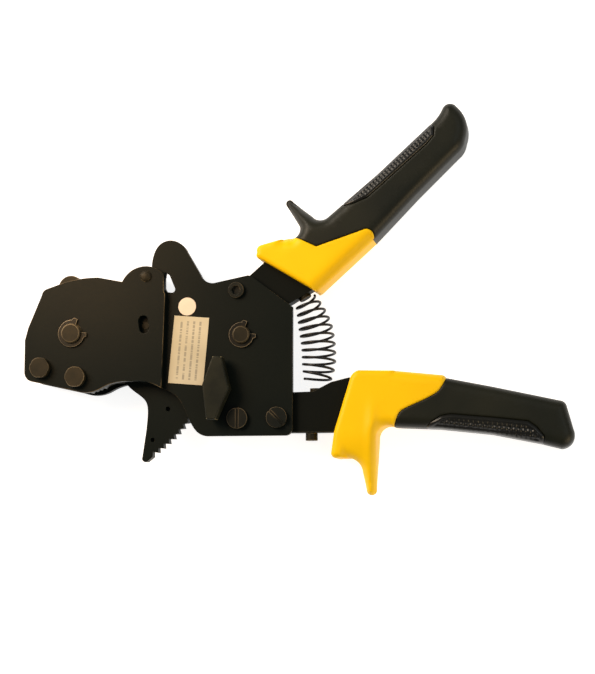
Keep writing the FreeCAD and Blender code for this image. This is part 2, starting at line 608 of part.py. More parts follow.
NODES = [
    "frame_plate_front", "frame_plate_rear", "head_plate_front", "head_plate_rear", "pipe_rest", "nose_bolts",
    "nose_nuts", "top_roller", "top_roller_pin", "blade_pivot_pin", "blade_pivot_clip_front",
    "blade_pivot_clip_rear", "handle_pivot_pin", "handle_pivot_clip_front", "handle_pivot_clip_rear",
    "blade_washers", "blade_stop_pin", "lobe_rivet", "lobe_spacer", "plate_plug", "frame_screws", "frame_nuts",
    "stop_screw", "stop_spacer", "instruction_label", "toothed_blade", "blade_bush", "release_knob",
    "knob_shaft", "holding_pawl", "knob_spring", "drive_pawl_spring", "return_spring", "upper_arm",
    "upper_guard", "upper_grip", "upper_grip_insert", "pawl_pin", "drive_pawl", "lower_arm", "lower_guard",
    "lower_grip", "lower_grip_insert", "spring_seat_lower", "spring_seat_upper", "adjusting_screw",
]


def write_parts():
    doc.recompute()
    failed = [o.Label for o in doc.Objects if "Invalid" in o.State or "Error" in o.State]
    assert not failed, f"features that failed: {failed}"
    os.makedirs("parts", exist_ok=True)
    by_label = {o.Label: o for o in doc.Objects}
    for name in NODES:
        shape = by_label[name].Shape
        assert not shape.isNull() and shape.isValid(), name
        shape.exportStep(f"parts/{name}.step")
        print(f"{name:26s} solids {len(shape.Solids)}  {shape.Volume:9.1f} mm3")


frame_plates()
head_plates()
nose_pieces()
pivots()
frame_fasteners()
label()
toothed_blade()
release()
small_springs()
return_spring()
upper_handle()
lower_handle()
write_parts()
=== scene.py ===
import json
import math

import bmesh
import bpy
import numpy as np
from mathutils import Matrix, Vector
from mathutils.geometry import delaunay_2d_cdt


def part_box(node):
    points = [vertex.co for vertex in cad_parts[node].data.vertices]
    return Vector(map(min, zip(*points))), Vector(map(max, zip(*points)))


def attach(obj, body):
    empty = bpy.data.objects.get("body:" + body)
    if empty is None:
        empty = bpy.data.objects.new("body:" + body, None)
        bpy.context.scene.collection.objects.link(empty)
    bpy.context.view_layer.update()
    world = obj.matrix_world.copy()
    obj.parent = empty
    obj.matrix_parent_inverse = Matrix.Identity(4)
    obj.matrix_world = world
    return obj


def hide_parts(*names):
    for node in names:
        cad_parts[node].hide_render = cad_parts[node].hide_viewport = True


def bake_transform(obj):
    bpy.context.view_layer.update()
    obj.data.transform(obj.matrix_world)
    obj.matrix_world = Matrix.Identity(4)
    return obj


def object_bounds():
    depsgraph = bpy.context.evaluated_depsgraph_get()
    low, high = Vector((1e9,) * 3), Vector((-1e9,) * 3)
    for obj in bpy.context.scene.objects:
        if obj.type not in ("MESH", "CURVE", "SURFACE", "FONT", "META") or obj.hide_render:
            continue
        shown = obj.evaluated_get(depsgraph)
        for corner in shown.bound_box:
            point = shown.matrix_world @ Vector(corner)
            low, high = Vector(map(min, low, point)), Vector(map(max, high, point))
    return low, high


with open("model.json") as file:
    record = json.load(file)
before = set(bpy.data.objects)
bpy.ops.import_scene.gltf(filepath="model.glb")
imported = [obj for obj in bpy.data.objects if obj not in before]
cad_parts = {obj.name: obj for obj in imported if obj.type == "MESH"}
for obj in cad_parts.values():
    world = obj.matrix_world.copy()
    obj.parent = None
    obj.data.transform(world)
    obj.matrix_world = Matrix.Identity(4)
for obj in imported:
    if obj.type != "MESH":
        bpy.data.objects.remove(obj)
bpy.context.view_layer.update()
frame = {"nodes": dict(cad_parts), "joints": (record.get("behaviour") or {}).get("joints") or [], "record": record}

nodes = frame["nodes"]
jointAt = {joint["name"]: Vector(joint["pos_m"]) for joint in frame["joints"]}
handlePivot = jointAt["handle_squeeze"]
middle = (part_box("toothed_blade")[0].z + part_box("toothed_blade")[1].z) / 2
mm = 0.001


def atPivot(point, height=0.0):
    # outlines are listed in mm from the handle pivot, heights in mm from the middle plane
    return Vector((handlePivot.x + point[0] * mm, handlePivot.y + point[1] * mm, middle + height * mm))


# ---- camera ----
camera = {"sideways": 10.0, "fromBelow": 6.5, "away": 800.0, "lens": 96.8, "aim": (27.04, -0.80)}


def makeCamera():
    across, below = math.radians(camera["sideways"]), math.radians(camera["fromBelow"])
    back = Vector((math.sin(across) * math.cos(below), -math.sin(below), math.cos(across) * math.cos(below)))
    right = Vector((math.cos(across), 0.0, -math.sin(across)))
    up = back.cross(right)
    bpy.ops.object.camera_add()
    cam = bpy.context.object
    cam.data.lens = camera["lens"]
    cam.data.sensor_fit = "HORIZONTAL"
    cam.data.sensor_width = 36.0
    cam.data.clip_start, cam.data.clip_end = 0.05, 20.0
    place = atPivot(camera["aim"]) + back * camera["away"] * mm
    turn = Matrix((right, up, back)).transposed().to_4x4()
    cam.matrix_world = Matrix.Translation(place) @ turn
    bpy.context.scene.camera = cam
    print("camera set")


# ---- studio ----
studio = {
    "floor": 6.0, "paper": 0.6, "paperGlow": 0.85, "sky": 0.20,
    # name: (place in metres, power in watts, side in metres, colour)
    "lamps": {
        "keyLight": ((-0.85, 0.60, 0.85), 17.0, 0.75, (1.0, 0.90, 0.76)),
        "goldLight": ((0.95, -0.62, 0.45), 6.0, 0.5, (1.0, 0.76, 0.44)),
        "fillLight": ((0.75, 0.35, 1.2), 3.0, 1.0, (0.90, 0.97, 1.0)),
        # a small warm lamp close over the head, which leaves a soft brown sheen there and on the lobe
        "glowLight": ((-0.160, 0.060, 0.20), 0.30, 0.10, (1.0, 0.60, 0.28)),
    },
}


def areaLight(name, place, power, size, colour):
    bpy.ops.object.light_add(type="AREA", location=place)
    lamp = bpy.context.object
    lamp.name = name
    lamp.data.energy, lamp.data.size, lamp.data.color = power, size, colour
    aim = Vector((0.0, 0.0, 0.0)) - Vector(place)
    lamp.rotation_euler = aim.to_track_quat("-Z", "Y").to_euler()


def makeStudio():
    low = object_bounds()[0].z
    bpy.ops.mesh.primitive_plane_add(size=studio["floor"], location=(0, 0, low - 0.0005))
    floor = bpy.context.object
    floor.name = "studioFloor"
    finish = bpy.data.materials.new("floorPaper")
    finish.use_nodes = True
    shader = finish.node_tree.nodes["Principled BSDF"]
    shader.inputs["Base Color"].default_value = (*[studio["paper"]] * 3, 1)
    shader.inputs["Roughness"].default_value = 0.9
    shader.inputs["Emission Color"].default_value = (1, 1, 1, 1)
    shader.inputs["Emission Strength"].default_value = studio["paperGlow"]
    floor.data.materials.append(finish)
    for name, (place, power, side, colour) in studio["lamps"].items():
        areaLight(name, place, power, side, colour)
    world = bpy.context.scene.world or bpy.data.worlds.new("studioSky")
    bpy.context.scene.world = world
    world.use_nodes = True
    sky = world.node_tree.nodes["Background"]
    sky.inputs["Color"].default_value = (1, 1, 1, 1)
    sky.inputs["Strength"].default_value = studio["sky"]
    bpy.context.scene.view_settings.view_transform = "Standard"
    print("studio set")


# ---- materials ----
def newMaterial(name, values):
    made = bpy.data.materials.new(name)
    made.use_nodes = True
    shader = made.node_tree.nodes["Principled BSDF"]
    shader.inputs["Metallic"].default_value = values.get("metal", 0.0)
    shader.inputs["Roughness"].default_value = values["rough"]
    shader.inputs["Base Color"].default_value = (*values["colour"], 1)
    shader.inputs["Specular IOR Level"].default_value = values.get("specular", 0.5)
    return made, made.node_tree, shader


def noiseFrom(tree, coords, scale, detail, stretch=(1, 1, 1)):
    mapping = tree.nodes.new("ShaderNodeMapping")
    mapping.inputs["Scale"].default_value = stretch
    noise = tree.nodes.new("ShaderNodeTexNoise")
    noise.inputs["Scale"].default_value = scale
    noise.inputs["Detail"].default_value = detail
    tree.links.new(coords.outputs["Object"], mapping.inputs["Vector"])
    tree.links.new(mapping.outputs["Vector"], noise.inputs["Vector"])
    return noise


def rampFrom(tree, source, stops):
    ramp = tree.nodes.new("ShaderNodeValToRGB")
    ramp.color_ramp.elements[0].position, ramp.color_ramp.elements[1].position = stops[0][0], stops[-1][0]
    ramp.color_ramp.elements[0].color = (*stops[0][1], 1)
    ramp.color_ramp.elements[1].color = (*stops[-1][1], 1)
    for position, colour in stops[1:-1]:
        ramp.color_ramp.elements.new(position).color = (*colour, 1)
    tree.links.new(source, ramp.inputs["Fac"])
    return ramp.outputs["Color"]


def spread(tree, source, low, high):
    ranged = tree.nodes.new("ShaderNodeMapRange")
    ranged.inputs["To Min"].default_value, ranged.inputs["To Max"].default_value = low, high
    tree.links.new(source, ranged.inputs["Value"])
    return ranged.outputs["Result"]


def mixed(tree, factor, first, second):
    mix = tree.nodes.new("ShaderNodeMix")
    mix.data_type = "RGBA"
    tree.links.new(factor, mix.inputs["Factor"])
    for socket, value in ((mix.inputs["A"], first), (mix.inputs["B"], second)):
        if isinstance(value, tuple):
            socket.default_value = (*value, 1)
        else:
            tree.links.new(value, socket)
    return mix.outputs["Result"]


def edgeWearAndHighlight(tree, coords, share):
    # the eased corners carry an "edge" attribute; here and there along them a lighter colour is painted, which
    # stands for edge wear together with a painted highlight where the corners catch the light
    mark = tree.nodes.new("ShaderNodeAttribute")
    mark.attribute_name = "edge"
    patchy = spread(tree, noiseFrom(tree, coords, 45, 3).outputs["Fac"], share - 1.4, share + 1.4)
    rubbedAndLit = tree.nodes.new("ShaderNodeMath")
    rubbedAndLit.operation = "MULTIPLY"
    rubbedAndLit.use_clamp = True
    tree.links.new(mark.outputs["Fac"], rubbedAndLit.inputs[0])
    tree.links.new(patchy, rubbedAndLit.inputs[1])
    return rubbedAndLit.outputs["Value"]


def bumpFrom(tree, shader, heights, strength, distance):
    bump = tree.nodes.new("ShaderNodeBump")
    bump.inputs["Strength"].default_value = strength
    bump.inputs["Distance"].default_value = distance
    tree.links.new(heights, bump.inputs["Height"])
    tree.links.new(bump.outputs["Normal"], shader.inputs["Normal"])


def steelMaterial(name, values):
    made, tree, shader = newMaterial(name, values)
    coords = tree.nodes.new("ShaderNodeTexCoord")
    clouds = noiseFrom(tree, coords, values["clouds"], 3)
    grain = noiseFrom(tree, coords, 900, 4, values.get("brushed", (1, 1, 1)))
    tint = rampFrom(tree, clouds.outputs["Fac"], [(0.3, values["colour"]), (0.7, values["tint"])])
    wearAndHighlight = edgeWearAndHighlight(tree, coords, values["edgeShare"])
    # the lighter edge colour is painted highlight together with wear, mixed in along the eased corners
    tree.links.new(mixed(tree, wearAndHighlight, tint, values["edge"]), shader.inputs["Base Color"])
    roughness = spread(tree, grain.outputs["Fac"], values["rough"] - 0.07, values["rough"] + 0.09)
    tree.links.new(roughness, shader.inputs["Roughness"])
    bumpFrom(tree, shader, grain.outputs["Fac"], values.get("bump", 0.12), 0.00008)
    return made


def rubberMaterial(name, values):
    made, tree, shader = newMaterial(name, values)
    coords = tree.nodes.new("ShaderNodeTexCoord")
    clouds = noiseFrom(tree, coords, 30, 2)
    pores = noiseFrom(tree, coords, values["pores"], 3)
    tint = rampFrom(tree, clouds.outputs["Fac"], [(0.35, values["colour"]), (0.7, values["tint"])])
    tree.links.new(tint, shader.inputs["Base Color"])
    roughness = spread(tree, pores.outputs["Fac"], values["rough"] - 0.08, values["rough"] + 0.08)
    tree.links.new(roughness, shader.inputs["Roughness"])
    bumpFrom(tree, shader, pores.outputs["Fac"], values["bump"], 0.00012)
    return made


label = {
    "colour": (0.50, 0.435, 0.285), "aged": (0.58, 0.515, 0.365), "bar": (0.17, 0.16, 0.13), "rough": 0.5,
    "turn": 4.8, "middle": (-27.05, -7.3),
    # bars to a metre, half a bar's share of its column, and how far the ruled area reaches from the middle
    "columns": 310.0, "halfBar": 0.17, "halfWidth": 0.0072, "halfHeight": 0.0148,
    "dash": 1500.0, "gap": 0.44, "ink": 0.62,
}


def labelMaterial():
    # aged cream film ruled with broken grey bars where the small print would be, and no lettering
    made, tree, shader = newMaterial("labelFilm", label)
    coords = tree.nodes.new("ShaderNodeTexCoord")
    clouds = noiseFrom(tree, coords, 60, 3)
    fibre = noiseFrom(tree, coords, 1400, 2)
    tint = rampFrom(tree, clouds.outputs["Fac"], [(0.3, label["colour"]), (0.75, label["aged"])])
    place = tree.nodes.new("ShaderNodeMapping")
    place.vector_type = "TEXTURE"
    place.inputs["Location"].default_value = atPivot(label["middle"])
    place.inputs["Rotation"].default_value = (0, 0, math.radians(-label["turn"]))
    tree.links.new(coords.outputs["Object"], place.inputs["Vector"])
    parts = tree.nodes.new("ShaderNodeSeparateXYZ")
    tree.links.new(place.outputs["Vector"], parts.inputs["Vector"])

    def maths(kind, first, second=None):
        node = tree.nodes.new("ShaderNodeMath")
        node.operation = kind
        for socket, value in zip(node.inputs, (first, second)):
            if isinstance(value, (int, float)):
                socket.default_value = value
            elif value is not None:
                tree.links.new(value, socket)
        return node.outputs["Value"]

    across = maths("MULTIPLY", parts.outputs["X"], label["columns"])
    column = maths("FLOOR", across)
    within = maths("ABSOLUTE", maths("SUBTRACT", maths("SUBTRACT", across, column), 0.5))
    inWidth = maths("LESS_THAN", maths("ABSOLUTE", parts.outputs["X"]), label["halfWidth"])
    bar = maths("MULTIPLY", maths("LESS_THAN", within, label["halfBar"]), inWidth)
    inked = maths("LESS_THAN", maths("ABSOLUTE", parts.outputs["Y"]), label["halfHeight"])
    join = tree.nodes.new("ShaderNodeCombineXYZ")
    tree.links.new(maths("MULTIPLY", column, 7.31), join.inputs["X"])
    tree.links.new(maths("MULTIPLY", parts.outputs["Y"], label["dash"]), join.inputs["Y"])
    gaps = tree.nodes.new("ShaderNodeTexNoise")
    gaps.inputs["Scale"].default_value = 1.0
    gaps.inputs["Detail"].default_value = 1.0
    tree.links.new(join.outputs["Vector"], gaps.inputs["Vector"])
    dashes = maths("GREATER_THAN", gaps.outputs["Fac"], label["gap"])
    printed = maths("MULTIPLY", maths("MULTIPLY", bar, inked), maths("MULTIPLY", dashes, label["ink"]))
    tree.links.new(mixed(tree, printed, tint, label["bar"]), shader.inputs["Base Color"])
    tree.links.new(spread(tree, fibre.outputs["Fac"], 0.42, 0.58), shader.inputs["Roughness"])
    bumpFrom(tree, shader, fibre.outputs["Fac"], 0.08, 0.00005)
    return made


# each "edge" colour below is painted onto the eased corners: a painted edge highlight together with wear
oxide = {"colour": (0.0026, 0.0050, 0.0043), "tint": (0.0060, 0.0078, 0.0055), "edge": (0.26, 0.19, 0.10),
         "rough": 0.40, "clouds": 14, "specular": 0.09, "metal": 0.02, "edgeShare": 0.3}
forged = {"colour": (0.0035, 0.0048, 0.0042), "tint": (0.0065, 0.0075, 0.0058),
          "edge": (0.05, 0.045, 0.035), "rough": 0.44, "clouds": 22, "specular": 0.05, "metal": 0.02,
          "edgeShare": 0.15}
fastener = {"colour": (0.0085, 0.0088, 0.0055), "tint": (0.026, 0.0205, 0.0105),
            "edge": (0.22, 0.17, 0.10), "rough": 0.42, "clouds": 90, "specular": 0.14, "metal": 0.15,
            "edgeShare": 0.4}
wire = {"colour": (0.007, 0.007, 0.0075), "tint": (0.013, 0.013, 0.013), "edge": (0.05, 0.05, 0.055),
        "rough": 0.36, "clouds": 60, "specular": 0.3, "metal": 0.2, "edgeShare": 0.3}
screwBlack = {"colour": (0.0060, 0.0075, 0.0058), "tint": (0.0125, 0.0125, 0.0085),
              "edge": (0.26, 0.20, 0.12), "rough": 0.38, "clouds": 90, "specular": 0.14, "metal": 0.05,
              "edgeShare": 0.35}
clipSteel = {"colour": (0.0055, 0.0060, 0.0045), "tint": (0.012, 0.0105, 0.0070),
             "edge": (0.42, 0.33, 0.21), "rough": 0.36, "clouds": 120, "specular": 0.18, "metal": 0.1,
             "edgeShare": 0.5}
bright = {"colour": (0.66, 0.545, 0.43), "tint": (0.74, 0.63, 0.51), "edge": (0.5, 0.42, 0.34),
          "rough": 0.42, "clouds": 120, "metal": 0.1, "bump": 0.05, "edgeShare": 0.8}
casting = {"colour": (0.0080, 0.0095, 0.0065), "tint": (0.0165, 0.0175, 0.0110),
           "edge": (0.22, 0.18, 0.10), "rough": 0.44, "clouds": 110, "specular": 0.13, "metal": 0.03,
           "bump": 0.3, "edgeShare": 0.6}
bronze = {"colour": (0.40, 0.26, 0.12), "tint": (0.5, 0.34, 0.17), "edge": (0.6, 0.45, 0.25),
          "edgeShare": 0.6, "rough": 0.35, "clouds": 60, "metal": 0.9}
tempered = {"colour": (0.05, 0.05, 0.048), "tint": (0.085, 0.08, 0.07), "edge": (0.25, 0.24, 0.22),
            "edgeShare": 0.6, "rough": 0.33, "clouds": 40, "metal": 0.7, "brushed": (1, 14, 1)}
yellow = {"colour": (0.90, 0.535, 0.0005), "tint": (0.93, 0.575, 0.0012), "rough": 0.42, "pores": 1500,
          "bump": 0.10, "specular": 0.16}
rubber = {"colour": (0.0055, 0.0068, 0.0036), "tint": (0.0125, 0.0130, 0.0068), "rough": 0.44,
          "pores": 1300, "bump": 0.22, "specular": 0.22}
rubberPanel = {"colour": (0.0036, 0.0040, 0.0032), "tint": (0.0070, 0.0072, 0.0055), "rough": 0.34,
               "pores": 1600, "bump": 0.3, "specular": 0.34}


def makeMaterials():
    made = {
        "black_steel": steelMaterial("blackOxide", oxide),
        "forged_steel": steelMaterial("forgedArm", forged),
        "hardened_steel": steelMaterial("temperedSteel", tempered),
        "dark_fastener": steelMaterial("browned", fastener),
        "spring_steel": steelMaterial("springWire", wire),
        "screw_black": steelMaterial("screwBlack", screwBlack),
        "clip_steel": steelMaterial("clipSteel", clipSteel),
        "bronze": steelMaterial("bushBronze", bronze),
        "bright_plug": steelMaterial("brightPlug", bright),
        "label_film": labelMaterial(),
        "knob_casting": steelMaterial("knobCasting", casting),
        "yellow_plastic": rubberMaterial("yellowMoulding", yellow),
        "black_rubber": rubberMaterial("gripRubber", rubber),
        "black_rubber_panel": rubberMaterial("panelRubber", rubberPanel),
    }
    print("materials made:", len(made))
    return made


# ---- shared making ----
def pickOnly(piece):
    bpy.ops.object.select_all(action="DESELECT")
    piece.select_set(True)
    bpy.context.view_layer.objects.active = piece


def addModifier(piece, kind, **values):
    pickOnly(piece)
    added = piece.modifiers.new(kind.lower(), kind)
    for name, value in values.items():
        setattr(added, name, value)
    bpy.ops.object.modifier_apply(modifier=added.name)


def dress(piece, material, slotName, body, *replaced):
    piece.data.materials.clear()
    piece.data.materials.append(material)
    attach(piece, body)
    if replaced:
        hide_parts(*replaced)
    return piece


def markEdges(piece):
    # the bevel put its faces on the second slot; their mark moves to an attribute that the finish reads
    faces = piece.data.polygons
    slots = np.zeros(len(faces), np.int32)
    faces.foreach_get("material_index", slots)
    edge = piece.data.attributes.new("edge", "FLOAT", "FACE")
    edge.data.foreach_set("value", (slots == 1).astype(np.float32))
    faces.foreach_set("material_index", np.zeros(len(faces), np.int32))
    piece.data.materials.clear()


hexagon = {"nodes": ("nose_bolts", "nose_nuts", "frame_nuts"), "corner": 2.0, "steps": 4, "turn": (50, 70)}


def roundHexagons(piece):
    # the upright corners of bolt heads and nuts, which meet at about sixty degrees
    work = bmesh.new()
    work.from_mesh(piece.data)
    low, high = (math.radians(limit) for limit in hexagon["turn"])
    upright = [edge for edge in work.edges if abs((edge.verts[1].co - edge.verts[0].co).normalized().z) > 0.99
               and low < edge.calc_face_angle(0) < high]
    bmesh.ops.bevel(work, geom=upright, offset=hexagon["corner"] * mm, segments=hexagon["steps"], profile=0.5,
                    affect="EDGES", clamp_overlap=True)
    work.to_mesh(piece.data)
    work.free()


def softenedCopy(node, width, steps=2):
    # a CAD node's copy with its corners eased, so that they catch the light
    piece = nodes[node].copy()
    piece.data = nodes[node].data.copy()
    piece.name = "eased_" + node
    piece.parent = None
    for key in list(piece.keys()):
        del piece[key]
    bpy.context.scene.collection.objects.link(piece)
    pickOnly(piece)
    bpy.ops.object.mode_set(mode="EDIT")
    bpy.ops.mesh.select_all(action="SELECT")
    bpy.ops.mesh.remove_doubles(threshold=easing["merge"])
    bpy.ops.mesh.dissolve_limited(angle_limit=math.radians(easing["flat"]))
    bpy.ops.object.mode_set(mode="OBJECT")
    if node in hexagon["nodes"]:
        roundHexagons(piece)
    piece.data.materials.clear()
    for _ in range(2):
        piece.data.materials.append(None)
    addModifier(piece, "BEVEL", width=width, segments=steps, limit_method="ANGLE", material=1,
                angle_limit=math.radians(easing["corner"]), harden_normals=False, use_clamp_overlap=True)
    markEdges(piece)
    pickOnly(piece)
    bpy.ops.object.shade_smooth_by_angle(angle=math.radians(easing["smooth"]))
    addModifier(piece, "WEIGHTED_NORMAL", mode="FACE_AREA", weight=easing["weight"], keep_sharp=True)
    return piece


easing = {"merge": 0.000004, "flat": 0.6, "corner": 38, "smooth": 32, "weight": 50}
easedPieces = {
    # node: (material, corner in mm)
    "frame_plate_front": ("black_steel", 0.45), "frame_plate_rear": ("black_steel", 0.45),
    "head_plate_front": ("black_steel", 0.55), "head_plate_rear": ("black_steel", 0.55),
    "toothed_blade": ("black_steel", 0.22), "pipe_rest": ("hardened_steel", 0.2),
    "upper_arm": ("forged_steel", 0.5), "lower_arm": ("forged_steel", 0.5),
    "nose_bolts": ("dark_fastener", 0.6), "nose_nuts": ("dark_fastener", 0.4),
    "frame_screws": ("screw_black", 0.25), "frame_nuts": ("screw_black", 0.4),
    "stop_screw": ("screw_black", 0.3), "top_roller": ("dark_fastener", 0.4),
    "top_roller_pin": ("dark_fastener", 0.3), "lobe_rivet": ("dark_fastener", 0.2),
    "blade_pivot_pin": ("dark_fastener", 0.25), "handle_pivot_pin": ("dark_fastener", 0.25),
    "blade_stop_pin": ("dark_fastener", 0.2), "plate_plug": ("bright_plug", 0.15),
    "knob_shaft": ("dark_fastener", 0.2), "adjusting_screw": ("dark_fastener", 0.3),
    "blade_pivot_clip_front": ("clip_steel", 0.18), "blade_pivot_clip_rear": ("clip_steel", 0.18),
    "handle_pivot_clip_front": ("clip_steel", 0.18), "handle_pivot_clip_rear": ("clip_steel", 0.18),
    "spring_seat_lower": ("dark_fastener", 0.3), "spring_seat_upper": ("dark_fastener", 0.3),
    "stop_spacer": ("dark_fastener", 0.3), "lobe_spacer": ("dark_fastener", 0.3),
    "holding_pawl": ("hardened_steel", 0.15), "drive_pawl": ("hardened_steel", 0.15),
    "pawl_pin": ("dark_fastener", 0.15), "release_knob": ("knob_casting", 0.3),
    "instruction_label": ("label_film", 0.05),
}


def bodyOf(node):
    return [body for body, held in frame["record"]["behaviour"]["bodies"].items() if node in held][0]


def easePieces(materials):
    slotOf = {part["node"]: part["material_slot"] for part in frame["record"]["subparts"]}
    for node, (finish, corner) in easedPieces.items():
        piece = softenedCopy(node, corner * mm)
        dress(piece, materials[finish], slotOf[node], bodyOf(node), node)
    for node, thing in nodes.items():
        thing.data.materials.clear()
        thing.data.materials.append(materials[slotOf[node]])
    print("metal pieces eased:", len(easedPieces))


# ---- moulded handle pieces ----
# each outline starts at its first point; a plain pair is a straight run, two pairs in a list are an arc
# by way of the first, and a longer list is a free curve
upperGuard = [
    (8.1, 41.0), [(8.3, 43.2), (10.2, 44.7)], (21.4, 47.6), [(25.6, 48.0), (29.9, 47.0)], (38.4, 42.9),
    (61.6, 50.5), [(65.8, 50.0), (66.4, 45.94)], (39.6, 21.8), [(38.0, 20.9), (36.2, 21.8)], (12.4, 36.2),
    (8.8, 37.9), [(7.8, 39.2), (7.9, 40.2)],
]
upperGrip = [
    (25.6, 48.0), [(28.9, 50.9), (28.9, 54.4)], (21.5, 66.0), [(22.2, 68.6), (24.9, 67.7)],
    (35.6, 59.0), [(39.4, 57.0), (43.6, 58.3)], (68.4, 78.9), (95.3, 103.4),
    [(99.2, 107.6), (101.0, 110.8)], [(104.2, 113.4), (108.2, 111.7)], [(112.7, 104.4), (112.3, 95.2)],
    [(110.9, 91.1), (108.1, 87.9)], (87.7, 68.0), (66.4, 45.94), [(65.8, 50.0), (61.6, 50.5)],
    (38.4, 42.9), (29.9, 47.0),
]
upperPanel = [
    (52.0, 63.2), (57.5, 64.2), (64.0, 66.8), (68.8, 70.9), (82.7, 83.1), (93.6, 92.6), (97.0, 96.6),
    (97.2, 101.0), (93.6, 105.2), (68.0, 82.0), (50.4, 66.4),
]
lowerGuard = [
    (54.9, -22.4), [(56.3, -20.3), (58.8, -18.8)], (77.1, -19.2), (99.6, -21.6),
    [(101.3, -22.6), (101.2, -24.6)],
    [(98.0, -29.6), (92.6, -32.9), (84.6, -36.5), (79.6, -39.2), (77.2, -43.4), (76.1, -46.6)],
    [(70.0, -46.9), (67.4, -52.0)], (66.6, -76.6), [(64.1, -79.7), (61.6, -77.0)], (60.0, -68.6),
    [(57.8, -63.6), (53.2, -61.6)], (48.7, -61.5), [(46.1, -61.1), (45.4, -58.5)], (46.8, -48.8),
]
lowerGrip = [
    (101.4, -23.0), (123.5, -27.5), (155.8, -34.6), [(158.2, -35.6), (159.4, -38.0)], (162.2, -48.4),
    [(161.6, -54.8), (156.4, -57.6)], (147.0, -55.2), (123.1, -50.4), (98.0, -47.6), (76.1, -46.6),
    [(77.2, -43.4), (79.6, -39.2), (84.6, -36.5), (92.6, -32.9), (98.0, -29.6), (101.2, -24.6)],
]
lowerPanel = [
    (90.5, -48.6), (94.0, -44.8), (99.2, -41.6), (104.0, -40.8), (123.6, -42.6), (141.0, -44.6),
    (145.0, -47.4), (148.6, -52.0), (147.6, -57.0), (123.1, -53.0), (98.0, -50.0),
]


def arcThrough(start, middlePoint, end, step):
    (ax, ay), (bx, by), (cx, cy) = start, middlePoint, end
    d = 2 * (ax * (by - cy) + bx * (cy - ay) + cx * (ay - by))
    squares = [ax * ax + ay * ay, bx * bx + by * by, cx * cx + cy * cy]
    x = (squares[0] * (by - cy) + squares[1] * (cy - ay) + squares[2] * (ay - by)) / d
    y = (squares[0] * (cx - bx) + squares[1] * (ax - cx) + squares[2] * (bx - ax)) / d
    radius = math.hypot(ax - x, ay - y)
    first, mid, last = (math.atan2(q - y, p - x) for p, q in (start, middlePoint, end))
    turn = (last - first) % (2 * math.pi)
    if (mid - first) % (2 * math.pi) > turn:
        turn -= 2 * math.pi
    count = max(3, int(abs(turn) * radius / step))
    return [(x + radius * math.cos(first + turn * n / count), y + radius * math.sin(first + turn * n / count))
            for n in range(1, count + 1)]


def curveThrough(points, step):
    made = []
    padded = [points[0]] + points + [points[-1]]
    for a, b, c, d in zip(padded, padded[1:], padded[2:], padded[3:]):
        count = max(2, int(math.dist(b, c) / step))
        for n in range(1, count + 1):
            t = n / count
            made.append(tuple(0.5 * (2 * q + (r - p) * t + (2 * p - 5 * q + 4 * r - s) * t * t
                                     + (3 * q - p - 3 * r + s) * t ** 3) for p, q, r, s in zip(a, b, c, d)))
    return made


def traced(outline, step):
    points = [outline[0]]
    for part in outline[1:] + [outline[0]]:
        if isinstance(part, tuple):
            count = max(1, int(math.dist(points[-1], part) / step))
            (ax, ay), (bx, by) = points[-1], part
            points += [(ax + (bx - ax) * n / count, ay + (by - ay) * n / count) for n in range(1, count + 1)]
        elif len(part) == 2:
            points += arcThrough(points[-1], part[0], part[1], step)
        else:
            points += curveThrough([points[-1]] + part, step)
    return np.array(points[:-1])


def gapTo(points, starts, ends):
    # distance of each point from the nearest of the runs
    best = np.full(len(points), 1e9)
    for a, b in zip(starts, ends):
        run = b - a
        along = np.clip(((points - a) @ run) / max(run @ run, 1e-12), 0, 1)
        best = np.minimum(best, np.hypot(*(points - a - along[:, None] * run).T))
    return best


def isInside(points, loop):
    x, y = points.T
    odd = np.zeros(len(points), bool)
    for (ax, ay), (bx, by) in zip(loop, np.roll(loop, -1, 0)):
        if ay != by:
            odd ^= ((ay > y) != (by > y)) & (x < (bx - ax) * (y - ay) / (by - ay) + ax)
    return odd


def easedStep(value, low, high):
    t = np.clip((value - low) / (high - low), 0, 1)
    return t * t * (3 - 2 * t)


def bulge(gap, radius):
    # how far a rounded edge lies below the flat, by the distance in from it
    inward = np.clip(radius - gap, 0, radius)
    return radius - np.sqrt(radius ** 2 - inward ** 2)


def runOf(points, start, end):
    # how far along the line each point lies, as a share of its length, and how far aside
    origin, axis = np.array(start), np.array(end) - np.array(start)
    along = ((points - origin) @ axis) / (axis @ axis)
    aside = np.abs((points - origin) @ np.array((-axis[1], axis[0]))) / np.hypot(*axis)
    return along, aside


def meshPiece(name, points, faces, sharp):
    mesh = bpy.data.meshes.new(name)
    mesh.from_pydata(points, [], faces)
    work = bmesh.new()
    work.from_mesh(mesh)
    bmesh.ops.recalc_face_normals(work, faces=work.faces)
    work.to_mesh(mesh)
    work.free()
    piece = bpy.data.objects.new(name, mesh)
    bpy.context.scene.collection.objects.link(piece)
    pickOnly(piece)
    bpy.ops.object.shade_smooth_by_angle(angle=math.radians(sharp))
    return piece


# "shared": outlines closer than this many mm meet at a seam; "ringShare" and "gridShare" thin out the points
# near an outline; "thickest" stops a rounded edge from crossing the middle; "sharp" is the shading angle
sheet = {"shared": 0.25, "ringShare": 0.93, "gridShare": 0.4, "thickest": 0.92, "sharp": 44, "merge": 1e-5}


